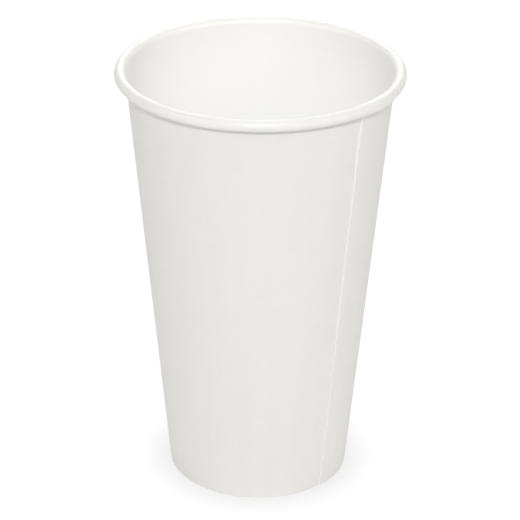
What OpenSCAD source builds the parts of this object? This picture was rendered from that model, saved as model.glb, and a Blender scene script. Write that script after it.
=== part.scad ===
/* [Cup] */
// Outside diameter of the rolled rim, which a press-down lid grips
rim_d = 90; // [78:1:100]
// Height from the table to the top of the rolled rim
cup_h = 138; // [90:1:170]
// Outside diameter of the foot
foot_d = 58; // [46:1:66]

/* [Board] */
// Thickness of the coated board of the side wall
wall_t = 0.35; // [0.25:0.05:0.5]
// Thickness of the coated board of the bottom
disc_t = 0.35; // [0.25:0.05:0.5]
// Film of sealing between the bottom's skirt and the board on either side of it
seal_gap = 0.03; // [0.01:0.01:0.1]

/* [Rolled rim] */
// Outside radius of the roll's section
curl_r = 1.85; // [1.6:0.05:2.4]
// Air between one turn of the roll and the next
curl_gap = 0.05; // [0.02:0.01:0.15]
// How far the raw edge goes on turning inside the roll, in degrees
curl_tail = 80; // [30:5:110]

/* [Foot] */
// Height of the hem that is folded up inside the foot
hem_h = 6.5; // [4.5:0.5:7]
// Height of the bottom's underside above the table
disc_up = 7.8; // [7.4:0.1:14]
// Outside radius of the bottom's bent edge
disc_bend = 0.9; // [0.7:0.1:2]
// Air between the skirt's cut edge and the fold below it
skirt_gap = 0.65; // [0.5:0.05:1.5]
// Radius of the two pressed corners of the foot
foot_round = 0.35; // [0.25:0.05:0.4]
// How far the fold is pressed flat against the table
foot_press = 0.15; // [0.1:0.01:0.2]

/* [Side seam] */
// Turn of the seam's middle from the +X axis, in degrees
seam_turn = -35; // [-180:5:180]
// Width of the lap that is sealed together
lap_w = 12; // [6:1:16]
// How far the outer cut edge is set back beside the rim
edge_step = 0.45; // [0.2:0.05:1]
// Length of that set back edge below the rolled rim
edge_step_len = 6.7; // [2:0.1:15]
// How deep the flat span behind the lap sinks into the round wall
span_sink = 0.05; // [0.03:0.01:0.1]
// Length over which the roll's skin climbs on to the outer layer
skin_climb = 4; // [2:0.5:5]
// Step that is left where this climb begins
skin_step = 0.05; // [0.03:0.01:0.1]

/* [Hidden] */
$fn = 144;
paper_white = "#f1f1ee";
over = 1;

// Lean of the wall: its inside face runs on into the roll without a kink
foot_r = foot_d/2;
curl_mid = [rim_d/2 - curl_r, cup_h - curl_r];
to_curl = curl_mid - [foot_r, 0];
lean = atan2(to_curl.x, to_curl.y) - asin((curl_r - wall_t)/norm(to_curl));

// The wall's section is drawn upright and then leaned about the foot, so that
// x is minus the depth below its outside face and y the length up the wall
wall_len = to_curl*[sin(lean), cos(lean)];
function face_r(z, depth) = foot_r + z*tan(lean) - depth/cos(lean);
function polar(r, a) = [r*cos(a), r*sin(a)];

// Lower turns of the roll, a little smaller and nearer the rim's outside
turn_shift = (wall_t + curl_gap)/2;
turn_r = curl_r - turn_shift;

// Depths of the layers in the foot, and the top of the fold under the skirt
skirt_in = wall_t + seal_gap;
skirt_out = skirt_in + disc_t;
hem_in = skirt_out + seal_gap;
hem_out = hem_in + wall_t;
fold_top = foot_round + wall_t/2;

// Flat span of the outer layer, from the inner layer's edge down to the round wall
lap_half = lap_w/2;
span_turn = asin(lap_half/foot_r) + acos((foot_r - span_sink)/(foot_r + wall_t));
// The seam is cut from full turns by blocks in plan, which stay clear of the axis
seam_near = 0.7*foot_r;
seam_far = rim_d;

// Roll's skin over the lap: the crescent's ends, and where it is thickest
skin_from = 90;
skin_to = -150;
skin_towards = -50;

// Part of a disc between two angles, the first the larger
module pie(r, a1, a0) {
    steps = ceil((a1 - a0)/45);
    intersection() {
        circle(r);
        polygon(concat([[0, 0]], [for (i = [0:steps]) polar(2*r, a0 + (a1 - a0)*i/steps)]));
    }
}

module arc_band(r, t, a1, a0) {
    difference() {
        pie(r, a1, a0);
        circle(r - t);
    }
}

// Turns an upright section into a solid that leans as the wall does and stands on
// the table, which presses flat what would reach below it
module leaning_turn() {
    rotate_extrude()
        difference() {
            translate([foot_r, 0]) rotate(-lean) children();
            translate([0, -cup_h]) square([seam_far, cup_h]);
        }
}

// One and a quarter turns of board, tighter as they go in
module curl_section() {
    translate([curl_r - wall_t, wall_len]) {
        arc_band(curl_r, wall_t, 180, 0);
        translate([turn_shift, 0]) arc_band(turn_r, wall_t, 0, -180);
        arc_band(curl_r - 2*turn_shift, wall_t, 180, 180 - curl_tail);
    }
}

// Straight wall, the fold under the skirt and the hem that stands behind it
module wall_section() {
    low = foot_round - foot_press;
    polygon([[0, wall_len], [0, low], [-foot_round, low], [-foot_round, -foot_press],
             [foot_round - hem_out, -foot_press], [foot_round - hem_out, low],
             [-hem_out, low], [-hem_out, hem_h], [-hem_in, hem_h],
             [-hem_in, fold_top], [-wall_t, fold_top], [-wall_t, wall_len]]);
    translate([-foot_round, low]) pie(foot_round, 0, -90);
    translate([foot_round - hem_out, low]) pie(foot_round, -90, -180);
}

// Second layer over the wall's section, on its outer side (1) or its inner side (-1):
// its bare face is at x and turns under at the foot, and its back lies half way into
// the board behind it
module layer_section(x, side, top) {
    low = foot_round - foot_press;
    mid = x - side*foot_round;
    back = x - side*1.5*wall_t;
    translate([min(x, back), low]) square([1.5*wall_t, top - low]);
    translate([min(mid, back), -foot_press]) square([1.5*wall_t - foot_round, foot_round]);
    translate([mid, low]) pie(foot_round, side > 0 ? 0 : -90, side > 0 ? -90 : -180);
}

// Skin of the roll where two layers are rolled up in it: a crescent, thickest below
module skin_section() {
    translate([curl_r - wall_t, wall_len])
        difference() {
            translate(polar(wall_t/2, skin_towards))
                pie(curl_r + wall_t/2, skin_from, skin_to);
            pie(curl_r - wall_t/2, 180, 0);
            translate([turn_shift, 0]) circle(turn_r - wall_t/2);
        }
}

// Block in plan from a line beside the seam's middle to the flat span's end
module plan_block(y0) {
    linear_extrude(2*cup_h, center = true)
        polygon([[seam_near, y0], [seam_far, y0], [seam_far, seam_far*tan(span_turn)],
                 [seam_near, seam_near*tan(span_turn)]]);
}

module lap_block() {
    linear_extrude(2*cup_h, center = true)
        translate([seam_near, -lap_half]) square([seam_far, lap_w]);
}

// All that lies behind the flat span, whose plane rests on the face at depth
module behind_span(depth) {
    rotate([0, 0, span_turn])
        translate([face_r(0, depth) - span_sink, 0, 0])
            rotate([0, lean, 0])
                translate([-seam_far, -seam_far, -cup_h])
                    cube([seam_far, 2*seam_far, 3*cup_h]);
}

// Outer layer: from its cut edge over the lap, and flat down to the round wall
module outer_layer() {
    difference() {
        intersection() {
            leaning_turn() layer_section(wall_t, 1, wall_len);
            plan_block(-lap_half);
            behind_span(0);
        }
        translate([seam_near, -lap_half - over, curl_mid.y - turn_r - edge_step_len])
            cube([seam_far, over + edge_step, cup_h]);
    }
}

// Room under the outer layer, from the inner layer's cut edge to the span's end. It
// stops short of the roll, which is joined to the outer layer there.
module room_under_span() {
    intersection() {
        leaning_turn()
            translate([-skirt_in - disc_t/2, fold_top])
                square([skirt_in + disc_t/2, wall_len - wall_t - fold_top]);
        plan_block(lap_half);
        behind_span(wall_t);
    }
}

// Skin of the roll over the lap: it climbs on to the outer layer, runs on over it
// and ends in the inner layer's cut edge
module skin_over_lap() {
    climb_turn = -asin((lap_half - skin_climb/2)/curl_mid.x);
    slope = wall_t/skin_climb;
    reach = skin_climb/2 + over;
    low_r = curl_r + skin_step - slope*over;
    difference() {
        intersection() {
            leaning_turn() skin_section();
            lap_block();
        }
        difference() {
            translate([curl_mid.x - 2*curl_r, -lap_half - over, curl_mid.y - 2*curl_r])
                cube([4*curl_r, skin_climb + over, 4*curl_r]);
            rotate([0, 0, climb_turn])
                translate([curl_mid.x, -reach, curl_mid.y])
                    rotate([-90, 0, 0])
                        cylinder(h = 2*reach, r1 = low_r, r2 = low_r + 2*reach*slope);
        }
    }
}

// The lap's second layer on the hem, where it shows from below
module hem_lap() {
    intersection() {
        leaning_turn() layer_section(-hem_out - wall_t, -1, hem_h);
        lap_block();
    }
}

// One blank of coated board: wrapped and lapped, rolled out at the top, and hemmed
// in round the skirt of the bottom
module side_wall() {
    color(paper_white)
        rotate([0, 0, seam_turn])
            difference() {
                union() {
                    leaning_turn() {
                        curl_section();
                        wall_section();
                    }
                    outer_layer();
                    skin_over_lap();
                    hem_lap();
                }
                room_under_span();
            }
}

// Stamped bottom: a flat disc with its edge bent down into a leaning skirt. The bend
// is drawn once upright and once leaned, and the two overlap on the same arc.
module bottom_disc() {
    bend_z = disc_up + disc_t - disc_bend;
    bend = [face_r(bend_z, skirt_in) - disc_bend/cos(lean), bend_z];
    skirt_len = (bend - [foot_r, 0])*[sin(lean), cos(lean)] - fold_top - skirt_gap;
    color(paper_white)
        rotate_extrude() {
            translate([0, disc_up]) square([bend.x, disc_t]);
            translate(bend) {
                arc_band(disc_bend, disc_t, 90, 0);
                rotate(-lean) {
                    arc_band(disc_bend, disc_t, 45, 0);
                    translate([disc_bend - disc_t, -skirt_len]) square([disc_t, skirt_len]);
                }
            }
        }
}

side_wall();
bottom_disc();
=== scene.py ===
import math

import bmesh
import bpy
from mathutils import Matrix, Vector


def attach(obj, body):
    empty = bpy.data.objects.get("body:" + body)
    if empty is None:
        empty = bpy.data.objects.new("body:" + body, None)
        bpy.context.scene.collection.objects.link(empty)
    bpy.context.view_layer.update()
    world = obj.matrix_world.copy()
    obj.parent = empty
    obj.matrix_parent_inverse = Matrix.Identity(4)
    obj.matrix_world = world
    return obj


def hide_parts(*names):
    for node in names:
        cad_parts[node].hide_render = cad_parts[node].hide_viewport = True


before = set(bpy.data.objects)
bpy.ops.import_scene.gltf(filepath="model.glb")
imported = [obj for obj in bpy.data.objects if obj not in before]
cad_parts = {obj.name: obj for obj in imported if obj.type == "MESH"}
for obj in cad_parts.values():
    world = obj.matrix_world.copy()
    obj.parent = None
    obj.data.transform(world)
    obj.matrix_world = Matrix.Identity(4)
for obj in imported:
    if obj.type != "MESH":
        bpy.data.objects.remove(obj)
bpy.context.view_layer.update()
print("frame loaded")

mm = 0.001

# camera: a long lens, nearly three quarters of a metre away and some 26 degrees up
camera = {
    "lens": 155.33,  # lens and sensor in mm
    "sensorWidth": 36.0,
    "clip": (0.05, 20.0),
    "distance": 718.77*mm,
    "elevation": 26.434,
    "target": (0.252*mm, 0.0, 71.361*mm),
    "roll": 0.394,
}


def addCamera():
    data = bpy.data.cameras.new("photoCamera")
    data.lens = camera["lens"]
    data.sensor_width = camera["sensorWidth"]
    data.clip_start, data.clip_end = camera["clip"]
    cam = bpy.data.objects.new("photoCamera", data)
    bpy.context.scene.collection.objects.link(cam)
    tilt = math.radians(camera["elevation"])
    back = Vector((0.0, -math.cos(tilt), math.sin(tilt)))
    cam.location = Vector(camera["target"]) + back*camera["distance"]
    turn = (-back).to_track_quat("-Z", "Y").to_matrix()
    cam.rotation_euler = (turn @ Matrix.Rotation(math.radians(camera["roll"]), 3, "Z")).to_euler()
    bpy.context.scene.camera = cam


addCamera()
bpy.context.scene.view_settings.view_transform = "Standard"
bpy.context.scene.cycles.diffuse_bounces = 10  # a deep white cup lights itself
print("camera placed")


def toLinear(hexColour):
    parts = [int(hexColour[i:i + 2], 16)/255 for i in (1, 3, 5)]
    return [c/12.92 if c <= 0.04045 else ((c + 0.055)/1.055)**2.4 for c in parts] + [1.0]


def addNode(tree, kind, inputs=None, **settings):
    node = tree.nodes.new(kind)
    for name, value in settings.items():
        setattr(node, name, value)
    for name, value in (inputs or {}).items():
        if isinstance(value, bpy.types.NodeSocket):
            tree.links.new(value, node.inputs[name])
        else:
            node.inputs[name].default_value = value
    return node


def newMaterial(name):
    material = bpy.data.materials.new(name)
    material.use_nodes = True
    material.node_tree.nodes.clear()
    return material, material.node_tree


# Bleached board, calendered, with a film of polyethylene pressed on: a quiet satin
# sheen, with the faint clouds and upright bands that its fibres leave in the white.
board = {
    "cloudSize": 3.5*mm,  # flocks of fibre in the board
    "cloudDetail": 4.0,
    "cloudRoughness": 0.55,
    "fibreSize": 0.35*mm,  # coarser than real fibres, which wouldn't show
    "fibreDetail": 3.0,
    "fibreRoughness": 0.6,
    "bandCount": 46,  # soft upright bands round the wall
    "bandRise": 9.0,  # how often the bands change in each metre upwards
    "bandRipple": 1.5,  # height of the bands against that of the fibres
    "shadeBelow": 0.75,  # sum of clouds and bands below which the tone is all shade
    "colourAbove": 1.25,
    "ior": 1.5,
}

# the inside's tone is partly the film's and partly painted light, whiter than the outside for the
# light gathered in the cup; the roll gets a darker tone as painted shade
filmInside = {
    "colour": "#fbfbfa",
    "shade": "#fafafa",
    "roughness": 0.34,
    "bumpHeight": 0.003*mm,
    # painted shade: the roll, further from the cup's middle, is given a darker tone than the inside
    "farColour": "#eeeeec",
    "farShade": "#ececea",
    "farBegins": 41.4*mm,  # distance from the cup's middle
    "farWhole": 42.8*mm,
}

plainOutside = {
    "colour": "#ebebea",
    "shade": "#e9e9e8",
    "roughness": 0.46,
    "bumpHeight": 0.004*mm,
}

# the cut edge is whiter towards the rim
bareEdge = {
    "colour": "#f4f4f2",
    "shade": "#f1f1ef",
    "roughness": 0.85,
    "bumpHeight": 0.006*mm,
    "farColour": "#f8f8f7",
    "farShade": "#f5f5f4",
    "farBegins": 32.0*mm,
    "farWhole": 41.0*mm,
}


def mixTones(tree, share, low, high):
    return addNode(tree, "ShaderNodeMix", {0: share, 6: low, 7: high}, data_type="RGBA").outputs[2]


# upright bands: noise on a place's turn round the cup and its height
def addBands(tree, place):
    split = addNode(tree, "ShaderNodeSeparateXYZ", {"Vector": place})
    turn = addNode(tree, "ShaderNodeMath", {0: split.outputs["Y"], 1: split.outputs["X"]},
                   operation="ARCTAN2")
    turns = addNode(tree, "ShaderNodeMath", {0: turn.outputs[0], 1: board["bandCount"]/math.tau},
                    operation="MULTIPLY")
    rise = addNode(tree, "ShaderNodeMath", {0: split.outputs["Z"], 1: board["bandRise"]},
                   operation="MULTIPLY")
    along = addNode(tree, "ShaderNodeCombineXYZ", {"X": turns.outputs[0], "Z": rise.outputs[0]})
    return addNode(tree, "ShaderNodeTexNoise", {
        "Vector": along.outputs[0], "Scale": 1.0, "Detail": board["fibreDetail"],
        "Roughness": board["fibreRoughness"]}).outputs["Fac"]


# share of the tone that belongs further from the cup's middle
def addFarShare(tree, place, finish):
    level = addNode(tree, "ShaderNodeVectorMath", {0: place, 1: (1.0, 1.0, 0.0)},
                    operation="MULTIPLY")
    out = addNode(tree, "ShaderNodeVectorMath", {0: level.outputs[0]}, operation="LENGTH")
    return addNode(tree, "ShaderNodeMapRange", {
        "Value": out.outputs["Value"], "From Min": finish["farBegins"],
        "From Max": finish["farWhole"]}, interpolation_type="SMOOTHSTEP").outputs[0]


def boardMaterial(name, finish):
    material, tree = newMaterial(name)
    place = addNode(tree, "ShaderNodeTexCoord").outputs["Object"]
    clouds = addNode(tree, "ShaderNodeTexNoise", {
        "Vector": place, "Scale": 1/board["cloudSize"], "Detail": board["cloudDetail"],
        "Roughness": board["cloudRoughness"]}).outputs["Fac"]
    bands = addBands(tree, place)
    both = addNode(tree, "ShaderNodeMath", {0: clouds, 1: bands}, operation="ADD")
    mixed = addNode(tree, "ShaderNodeMapRange", {
        "Value": both.outputs[0], "From Min": board["shadeBelow"],
        "From Max": board["colourAbove"]}).outputs[0]
    tone = mixTones(tree, mixed, toLinear(finish["shade"]), toLinear(finish["colour"]))
    if "farColour" in finish:
        farTone = mixTones(tree, mixed, toLinear(finish["farShade"]), toLinear(finish["farColour"]))
        tone = mixTones(tree, addFarShare(tree, place, finish), tone, farTone)
    fibres = addNode(tree, "ShaderNodeTexNoise", {
        "Vector": place, "Scale": 1/board["fibreSize"], "Detail": board["fibreDetail"],
        "Roughness": board["fibreRoughness"]}).outputs["Fac"]
    ripple = addNode(tree, "ShaderNodeMath", {0: bands, 1: board["bandRipple"]},
                     operation="MULTIPLY")
    height = addNode(tree, "ShaderNodeMath", {0: fibres, 1: ripple.outputs[0]}, operation="ADD")
    bump = addNode(tree, "ShaderNodeBump", {
        "Height": height.outputs[0], "Distance": finish["bumpHeight"], "Strength": 1.0})
    shader = addNode(tree, "ShaderNodeBsdfPrincipled", {
        "Base Color": tone, "Roughness": finish["roughness"], "IOR": board["ior"],
        "Specular IOR Level": 0.5, "Normal": bump.outputs[0]})
    addNode(tree, "ShaderNodeOutputMaterial", {"Surface": shader.outputs[0]})
    return material


# the inside is whiter partly as painted light, and its roll darker as painted shade
insideBoard = boardMaterial("filmCoatedBoardInside", filmInside)
outsideBoard = boardMaterial("calenderedBoardOutside", plainOutside)
cutBoard = boardMaterial("cutBoardEdge", bareEdge)
print("materials made")


def editMode(on):
    bpy.ops.object.mode_set(mode="EDIT" if on else "OBJECT")


# a new piece with one selected point at a place, from which its section is drawn
def startFrom(name, place):
    bpy.ops.object.select_all(action="DESELECT")
    bpy.ops.mesh.primitive_plane_add(size=mm, location=place)
    piece = bpy.context.object
    piece.name = piece.data.name = name
    bpy.ops.object.transform_apply(location=True, rotation=True, scale=True)
    editMode(True)
    bpy.ops.mesh.select_all(action="SELECT")
    bpy.ops.mesh.merge(type="CENTER")
    return piece


# draws on from the selected point, along an arc and through a list of places
def arc(centre, degrees, steps):
    bpy.ops.mesh.spin(steps=steps, angle=math.radians(degrees), center=centre, axis=(0, 1, 0))


def run(places):
    mesh = bmesh.from_edit_mesh(bpy.context.object.data)
    here = next(v.co.copy() for v in mesh.verts if v.select)
    for place in places:
        bpy.ops.mesh.extrude_region_move(TRANSFORM_OT_translate={"value": place - here})
        here = place


# selects the faces that pass the test
def pick(piece, test):
    mesh = bmesh.from_edit_mesh(piece.data)
    bpy.ops.mesh.select_all(action="DESELECT")
    bpy.ops.mesh.select_mode(type="FACE")
    mesh.faces.ensure_lookup_table()
    for face in mesh.faces:
        face.select = test(face)
    mesh.select_flush_mode()
    bmesh.update_edit_mesh(piece.data)


# the cup's sizes, as the solid model has them, in millimetres and degrees
cup = {
    "rimAcross": 90.0,
    "height": 138.0,
    "footAcross": 58.0,
    "board": 0.35,
    "seal": 0.03,
    "rollRadius": 1.85,
    "rollGap": 0.05,
    "rollTail": 80,
    "hemHeight": 6.5,
    "seamTurn": -35.5,
    "lapWidth": 12.0,
    "nickDepth": 0.2,
    "nickHeight": 127.2,
    "whiteStrip": 0.65,  # strip beside the cut edge that gets the cut edge's whiter tone
    "spanSink": 0.05,
}

footR = cup["footAcross"]/2
rollMid = Vector((cup["rimAcross"]/2 - cup["rollRadius"], cup["height"] - cup["rollRadius"]))
toRoll = rollMid - Vector((footR, 0))
lean = math.atan2(toRoll.x, toRoll.y) - math.asin((cup["rollRadius"] - cup["board"])/toRoll.length)
wallLen = toRoll.dot(Vector((math.sin(lean), math.cos(lean))))
rollShift = (cup["board"] + cup["rollGap"])/2
tailR = cup["rollRadius"] - 2*rollShift
halfLap = cup["lapWidth"]/2


# a place in the section: depth below the wall's outside face, and length up the wall
def onSection(depth, up):
    return Vector((
        footR - depth*math.cos(lean) + up*math.sin(lean), 0.0,
        depth*math.sin(lean) + up*math.cos(lean)))*mm


# the section's rows of points, in millimetres, and its columns round the cup, a degree each
sheet = {
    "start": 14,  # the blank's first column, in degrees past the lap's middle
    "columns": 388,
    "lapColumns": 60,  # degrees from the lap's middle within which its layers are moved
    "cutColumns": 40,  # degrees from the lap's middle within which they are cut to width
    "rollSteps": (6, 14, 18),  # along the tail inside the roll, its underside and its top
    "rowsUnderRoll": (0.5, 1.2, 2.4, 4.0, 6.0, 8.4),
    "plainRows": 16,
    "plainRowsTo": 9.0,  # height above the foot at which the even rows end
    "rowsAtFoot": (cup["hemHeight"], 4.5, 3.0, 2.0, 1.3, 0.8),
    "foldRadius": 0.17,
    "foldFloor": 0.17,  # less than the board, which is pressed flat against the table
    "foldSteps": 4,
    "smoothUnder": 32,  # degrees between faces that are shaded as one
}


# draws the section of the inner face, from the raw edge inside the roll to the hem's edge
def makeSideWall():
    thick, radius = cup["board"], cup["rollRadius"]
    centre = onSection(thick - radius, wallLen)
    centreTwo = onSection(thick - radius - rollShift, wallLen)
    first = math.radians(180 - cup["rollTail"] - math.degrees(lean))
    piece = startFrom("sideWall", centre + Vector((math.cos(first), 0, math.sin(first)))*tailR*mm)
    tailSteps, underSteps, overSteps = sheet["rollSteps"]
    arc(centre, cup["rollTail"], tailSteps)
    arc(centreTwo, 180, underSteps)
    arc(centre, 180, overSteps)
    rowsUp = [wallLen - down for down in sheet["rowsUnderRoll"]]
    last, steps = rowsUp[-1], sheet["plainRows"]
    rowsUp += [last + (sheet["plainRowsTo"] - last)*i/steps for i in range(1, steps + 1)]
    rowsUp += sheet["rowsAtFoot"]
    hemIn = thick + cup["seal"] + cup["board"] + cup["seal"]
    bend, floorUp = sheet["foldRadius"], sheet["foldFloor"]
    run([onSection(thick, up) for up in rowsUp + [floorUp + bend]])
    arc(onSection(thick + bend, floorUp + bend), -90, sheet["foldSteps"])
    run([onSection((thick + hemIn)/2, floorUp), onSection(hemIn - bend, floorUp)])
    arc(onSection(hemIn - bend, floorUp + bend), -90, sheet["foldSteps"])
    run([onSection(hemIn, up) for up in reversed(sheet["rowsAtFoot"])])
    editMode(False)
    return piece


# How the two layers of the lap change places. Pairs are the ends of a soft step: angles
# on the roll's section, 0 outwards and 90 on top, or millimetres across the lap or up
# the wall.
lap = {
    "spanTurn": 23.7,  # where the flat span behind the lap meets the round wall
    "outerDrop": 1.03,  # how far the outer layer lies under the inner one, in boards
    "mostDrop": 2.2,  # the most that anything is moved that way, in boards
    "swellOver": (110, -20),  # going over the roll, its inner layer swells out by a board
    "swellUnder": (-150, -95),
    "swellAcross": (-14, 3),
    "tuckUnder": (-130, -178),  # and where the roll closes on the wall, it is tucked in by one
    "tuckAcross": (-9, -6.4),
    "footLift": 0.5,  # in boards
    "liftUpWall": (3.0, 0.5),
    "liftUpHem": (cup["hemHeight"], 1.0),
    "flushOnWall": (wallLen - 4, wallLen),
    "flushOnRoll": (-60, -10),
    "flushShare": 0.75,  # of the outer layer's drop, taken out where it is rolled flush
    "flushAcross": (halfLap - 3.5, halfLap - 0.5),
    "flushSpan": (2.2*halfLap, halfLap),
    "levelOff": 6,  # how sharply the flat span leaves the inner layer
}
hair = 0.001  # mm, for comparing places
snap = 0.02  # mm, points nearer than this are taken for one
throughPoint = 0.0001  # mm, a cut that passes a point this closely goes through it


def smooth(low, high, x):
    t = min(max((x - low)/(high - low), 0.0), 1.0)
    return t*t*(3 - 2*t)


# how far a row of the section swells, tucks in, or lifts at the foot, where two layers
# meet, and how far the press has rolled them flush
def shareOfRow(place):
    x, z = place.x/mm - footR, place.z/mm
    depth = -(x*math.cos(lean) - z*math.sin(lean))
    up = x*math.sin(lean) + z*math.cos(lean)
    if depth > cup["board"] - hair:
        lift = lap["footLift"]*smooth(*lap["liftUpWall"], up)*smooth(*lap["liftUpHem"], up)
        return 0.0, 0.0, lift, smooth(*lap["flushOnWall"], up)
    out, rise = -depth - (cup["rollRadius"] - cup["board"]), up - wallLen
    turn = math.degrees(math.atan2(rise, out))
    if rise > -hair and math.hypot(out, rise) < tailR + snap:
        return 0.0, 1.0, 0.0, 0.0
    if rise < hair and turn > 179:  # the wall's end of the roll's underside
        turn -= 360
    swell = smooth(*lap["swellOver"], turn)*smooth(*lap["swellUnder"], turn)
    return swell, smooth(*lap["tuckUnder"], turn), 0.0, smooth(*lap["flushOnRoll"], turn)


# shift of the inner layer towards the drink, in boards, at a place across the lap
def innerShift(shares, side):
    swell, tuck, lift = shares[:3]
    side = min(side, halfLap)
    return swell*smooth(*lap["swellAcross"], side) + (lift - tuck)*smooth(*lap["tuckAcross"], side)


# shift of the outer layer, which runs on past the lap as a flat span
def outerShift(shares, side, wallR, turn):
    flush = shares[3]
    shift = innerShift(shares, side) - lap["outerDrop"]
    shift *= 1 - lap["flushShare"]*flush*smooth(*lap["flushAcross"], side)
    if side > halfLap:
        span = spanShare(wallR, math.radians(turn))
        shift *= span + flush*(smooth(*lap["flushSpan"], side) - span)
    return shift


# how much of the outer layer's height is left on the flat span, levelling off at one
def spanShare(radius, turn):
    off = turn - math.radians(lap["spanTurn"])
    if off > 0:
        return 0.0
    raw = (radius*(1/math.cos(off) - 1) - cup["spanSink"])/cup["board"]
    sharp = lap["levelOff"]
    return raw/(1 + raw**sharp)**(1/sharp) if raw > 0 else 0.0


# Spin and the cuts leave a mesh in another order each time. This puts its edges and faces
# in one order, so that each run gives the same mesh. Its points are put in order too, once
# no row or column is told from their numbers.
def putInOrder(mesh, pointsToo):
    many = 1e5  # more than the points of this mesh

    def byHeight(point):
        return 1e6*point.co.z + 1e3*point.co.y + point.co.x

    def byNumber(part):
        numbers = [point.index for point in part.verts]
        return many*(many*max(numbers) + min(numbers)) + sum(numbers) % many

    if pointsToo:
        mesh.verts.sort(key=byHeight)
    mesh.verts.index_update()
    mesh.edges.sort(key=byNumber)
    mesh.faces.sort(key=byNumber)


# spins the section into a wall whose faces look at the drink
def spinWall(piece):
    columns = sheet["columns"]
    piece.data.transform(Matrix.Rotation(math.radians(sheet["start"]), 4, "Z"))
    editMode(True)
    bpy.ops.mesh.select_all(action="SELECT")
    bpy.ops.mesh.spin(steps=columns, angle=math.radians(columns),
                      center=(0, 0, 0), axis=(0, 0, 1), use_auto_merge=False)
    mesh = bmesh.from_edit_mesh(piece.data)
    putInOrder(mesh, pointsToo=False)
    halfWay = cup["height"]/2*mm
    wallFace = min(mesh.faces, key=lambda f: abs(f.calc_center_median().z - halfWay))
    if wallFace.normal.xy.dot(wallFace.calc_center_median().xy) > 0:
        bpy.ops.mesh.select_all(action="SELECT")
        bpy.ops.mesh.flip_normals()
    editMode(False)


# weights and displaces the two layers of the lap
def shapeLap(piece, rows):
    count = len(rows)
    shares = [shareOfRow(row) for row in rows]
    raised = piece.vertex_groups.new(name="raised")
    tucked = piece.vertex_groups.new(name="tucked")
    for vert in piece.data.vertices:
        column, row = divmod(vert.index, count)
        turn = sheet["start"] - column
        radius = vert.co.xy.length/mm
        if turn > -sheet["lapColumns"]:
            shift = innerShift(shares[row], radius*math.sin(math.radians(turn)))
        elif turn < sheet["lapColumns"] - 360:
            turn += 360
            wallR = min(footR + max(vert.co.z/mm, 0)*math.tan(lean), footR + wallLen*math.sin(lean))
            shift = outerShift(shares[row], radius*math.sin(math.radians(turn)), wallR, turn)
        else:
            continue
        if shift > 0:
            raised.add([vert.index], shift, "REPLACE")
        elif shift < 0:
            tucked.add([vert.index], -shift/lap["mostDrop"], "REPLACE")
    for group, strength in (("raised", 1.0), ("tucked", -lap["mostDrop"])):
        push = piece.modifiers.new(group, "DISPLACE")
        push.vertex_group = group
        push.mid_level = 0.0
        push.strength = strength*cup["board"]*mm
        bpy.ops.object.modifier_apply(modifier=group)
    piece.vertex_groups.clear()


innerLayer, outerLayer = 1, 2


# notes which layer of the lap a face belongs to
def markLayers(piece, count):
    marks = piece.data.attributes.new("layer", "INT", "FACE")
    for face in piece.data.polygons:
        turn = sheet["start"] - max(face.vertices)//count
        if turn > -sheet["cutColumns"]:
            marks.data[face.index].value = innerLayer
        elif turn < sheet["cutColumns"] - 360:
            marks.data[face.index].value = outerLayer


# cuts a new row of edges through one layer, above a height
def cutLayer(piece, layer, place, normal, low=-1.0):
    mark = bmesh.from_edit_mesh(piece.data).faces.layers.int["layer"]
    pick(piece, lambda f: f[mark] == layer and f.calc_center_median().z > low)
    bpy.ops.mesh.bisect(plane_co=place, plane_no=normal, use_fill=False, threshold=throughPoint*mm)


# cuts the blank's two side edges, the outer one with its nick under the rim
def trimLap(piece):
    nick, depth, whiteStrip = (cup[key]*mm for key in ("nickHeight", "nickDepth", "whiteStrip"))
    half = halfLap*mm
    editMode(True)
    cutLayer(piece, outerLayer, (0, 0, nick), (0, 0, 1))
    for width in (0, whiteStrip):
        cutLayer(piece, outerLayer, (0, width - half, 0), (0, 1, 0))
    for width in (depth, depth + whiteStrip):
        cutLayer(piece, outerLayer, (0, width - half, 0), (0, 1, 0), low=nick)
    cutLayer(piece, innerLayer, (0, half, 0), (0, 1, 0))
    mark = bmesh.from_edit_mesh(piece.data).faces.layers.int["layer"]

    def inStrip(face, width):
        place = face.calc_center_median()
        edge = depth if place.z > nick else 0
        return face[mark] == outerLayer and place.y < edge + width - half

    def pastEdge(face):
        return face[mark] == innerLayer and face.calc_center_median().y > half

    pick(piece, lambda f: inStrip(f, 0) or pastEdge(f))
    bpy.ops.mesh.delete(type="FACE")
    pick(piece, lambda f: inStrip(f, whiteStrip))
    piece.active_material_index = 1  # its other side becomes bare board when the wall is thickened
    bpy.ops.object.material_slot_assign()
    putInOrder(bmesh.from_edit_mesh(piece.data), pointsToo=True)
    editMode(False)
    editMode(True)
    bpy.ops.mesh.select_mode(type="VERT")
    bpy.ops.mesh.select_all(action="SELECT")
    bpy.ops.mesh.remove_doubles(threshold=snap*mm)
    bpy.ops.mesh.dissolve_degenerate(threshold=snap/2*mm)
    editMode(False)
    piece.data.attributes.remove(piece.data.attributes["layer"])


# the faces stay as the inside, and the next materials go on the outside and the cut edges
def thicken(piece, thickness):
    wall = piece.modifiers.new("thickness", "SOLIDIFY")
    wall.thickness = thickness*mm
    wall.offset = -1
    wall.use_even_offset = True
    wall.use_quality_normals = True
    wall.material_offset = 1
    wall.material_offset_rim = 2
    bpy.ops.object.modifier_apply(modifier="thickness")


# presses flat against the table what reaches below it
def pressFlat(piece):
    for vert in piece.data.vertices:
        vert.co.z = max(vert.co.z, 0.0)


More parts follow.
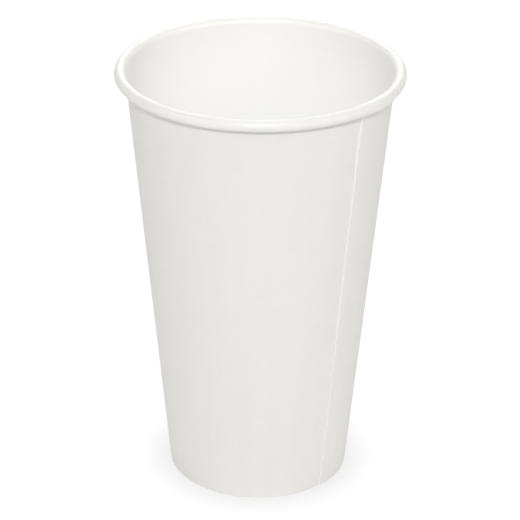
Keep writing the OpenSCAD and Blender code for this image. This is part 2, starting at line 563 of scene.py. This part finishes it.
sideWall = makeSideWall()
rowPlaces = [v.co.copy() for v in sideWall.data.vertices]
for material in (insideBoard, outsideBoard, cutBoard):
    sideWall.data.materials.append(material)
spinWall(sideWall)
shapeLap(sideWall, rowPlaces)
markLayers(sideWall, len(rowPlaces))
trimLap(sideWall)
thicken(sideWall, cup["board"])
pressFlat(sideWall)
sideWall.data.transform(Matrix.Rotation(math.radians(cup["seamTurn"]), 4, "Z"))
bpy.ops.object.shade_smooth_by_angle(angle=math.radians(sheet["smoothUnder"]))
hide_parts("side_wall")
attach(sideWall, "root")
print("side wall made,", len(sideWall.data.polygons), "faces from a section of", len(rowPlaces))

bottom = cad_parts["bottom_disc"]
bottom.data.materials.clear()
# the bottom takes the inside's tone, which is whiter partly as painted light
bottom.data.materials.append(insideBoard)
print("bottom dressed")


# a white floor and backdrop, a small strong lamp behind the camera and large soft ones
# over, behind and beside the cup
studio = {
    "ambient": 0.165,
    "floorAcross": 12.0,
    "floorWhite": 0.92,  # for the light that it throws back at the cup
    "floorLight": 0.10,  # share of the lamps' light and shadow that shows on the white floor
    "floorGlow": 0.935,
    # painted shade: ambient occlusion darkens the floor's glow round the foot, in place of its
    # contact shadow
    "paintedShadeNearFoot": 0.82,  # painted shade: what is left of the floor's glow in the crease round the foot
    "paintedShadeReach": 0.013,
    "paintedShadeOpen": 0.45,  # openness at which the painted shade in the crease is as dark as it gets
    "paintedShadeSamples": 12,
    "aim": (0.0, 0.0, 0.09),
    "boxDistance": 3.0,
    # softboxes: name, direction (degrees round from the camera, degrees up), size, power, colour
    "boxes": [
        ("keyLamp", 0, 35, 0.25, 36.4, "#ffffff"),  # draws the thin dark line under the rim
        ("highSoftbox", 0, 62, 1.5, 6.5, "#ffffff"),
        ("topSoftbox", 0, 86, 1.5, 10.0, "#ffffff"),
        ("backSoftbox", 180, 55, 2.1, 6.0, "#ffffff"),
        ("lowBackSoftbox", 180, 32, 2.1, 27.0, "#ffffff"),  # lights up the rim's edge
        ("leftSoftbox", -65, 30, 2.1, 16.5, "#fff9ee"),
        ("rightSoftbox", 65, 30, 2.1, 20.0, "#fff9ee"),
    ],
}


# 1 for what the camera sees, itself or in gloss or through glass, and 0 for soft light
def seenRays(tree):
    path = addNode(tree, "ShaderNodeLightPath")
    some = addNode(tree, "ShaderNodeMath", {
        0: path.outputs["Is Camera Ray"], 1: path.outputs["Is Glossy Ray"]}, operation="MAXIMUM")
    seen = addNode(tree, "ShaderNodeMath", {
        0: some.outputs[0], 1: path.outputs["Is Transmission Ray"]}, operation="MAXIMUM")
    return addNode(tree, "ShaderNodeMath", {
        0: seen.outputs[0], 1: path.outputs["Is Diffuse Ray"]},
        operation="SUBTRACT", use_clamp=True).outputs[0]


def grey(level):
    return [level]*3 + [1.0]


def addFloor():
    bpy.ops.object.select_all(action="DESELECT")
    bpy.ops.mesh.primitive_plane_add(size=studio["floorAcross"], location=(0, 0, 0))
    floor = bpy.context.object
    floor.name = "paperFloor"
    material, tree = newMaterial("mattWhiteFloorPaper")
    shown = addNode(tree, "ShaderNodeBsdfDiffuse", {"Color": grey(studio["floorLight"])})
    # painted shade: the floor's glow is darkened where ambient occlusion finds the cup's foot close
    # by
    paintedFootShade = addNode(tree, "ShaderNodeAmbientOcclusion", {"Distance": studio["paintedShadeReach"]},
                     samples=studio["paintedShadeSamples"])
    strength = addNode(tree, "ShaderNodeMapRange", {
        "Value": paintedFootShade.outputs["AO"], "From Min": studio["paintedShadeOpen"], "From Max": 1.0,
        "To Min": studio["floorGlow"]*studio["paintedShadeNearFoot"], "To Max": studio["floorGlow"]})
    glow = addNode(tree, "ShaderNodeEmission", {"Strength": strength.outputs[0]})
    bright = addNode(tree, "ShaderNodeAddShader", {0: shown.outputs[0], 1: glow.outputs[0]})
    real = addNode(tree, "ShaderNodeBsdfDiffuse", {"Color": grey(studio["floorWhite"])})
    mix = addNode(tree, "ShaderNodeMixShader", {
        0: seenRays(tree), 1: real.outputs[0], 2: bright.outputs[0]})
    addNode(tree, "ShaderNodeOutputMaterial", {"Surface": mix.outputs[0]})
    floor.data.materials.append(material)


def addWorld():
    world = bpy.data.worlds.new("whiteStudio")
    bpy.context.scene.world = world
    world.use_nodes = True
    tree = world.node_tree
    tree.nodes.clear()
    ambient, white = (
        addNode(tree, "ShaderNodeBackground", {"Color": grey(1.0), "Strength": strength})
        for strength in (studio["ambient"], 1.0))
    mix = addNode(tree, "ShaderNodeMixShader", {
        0: seenRays(tree), 1: ambient.outputs[0], 2: white.outputs[0]})
    addNode(tree, "ShaderNodeOutputWorld", {"Surface": mix.outputs[0]})


def addSoftbox(name, around, up, size, power, colour):
    aim = Vector(studio["aim"])
    side, rise = math.radians(around), math.radians(up)
    place = aim + studio["boxDistance"]*Vector((
        math.sin(side)*math.cos(rise), -math.cos(side)*math.cos(rise), math.sin(rise)))
    data = bpy.data.lights.new(name, "AREA")
    data.shape = "SQUARE"
    data.size = size
    data.energy = power
    data.color = toLinear(colour)[:3]
    lamp = bpy.data.objects.new(name, data)
    bpy.context.scene.collection.objects.link(lamp)
    lamp.location = place
    lamp.rotation_euler = (aim - place).to_track_quat("-Z", "Y").to_euler()


addFloor()
addWorld()
for values in studio["boxes"]:
    addSoftbox(*values)
print("floor, world and lamps made")
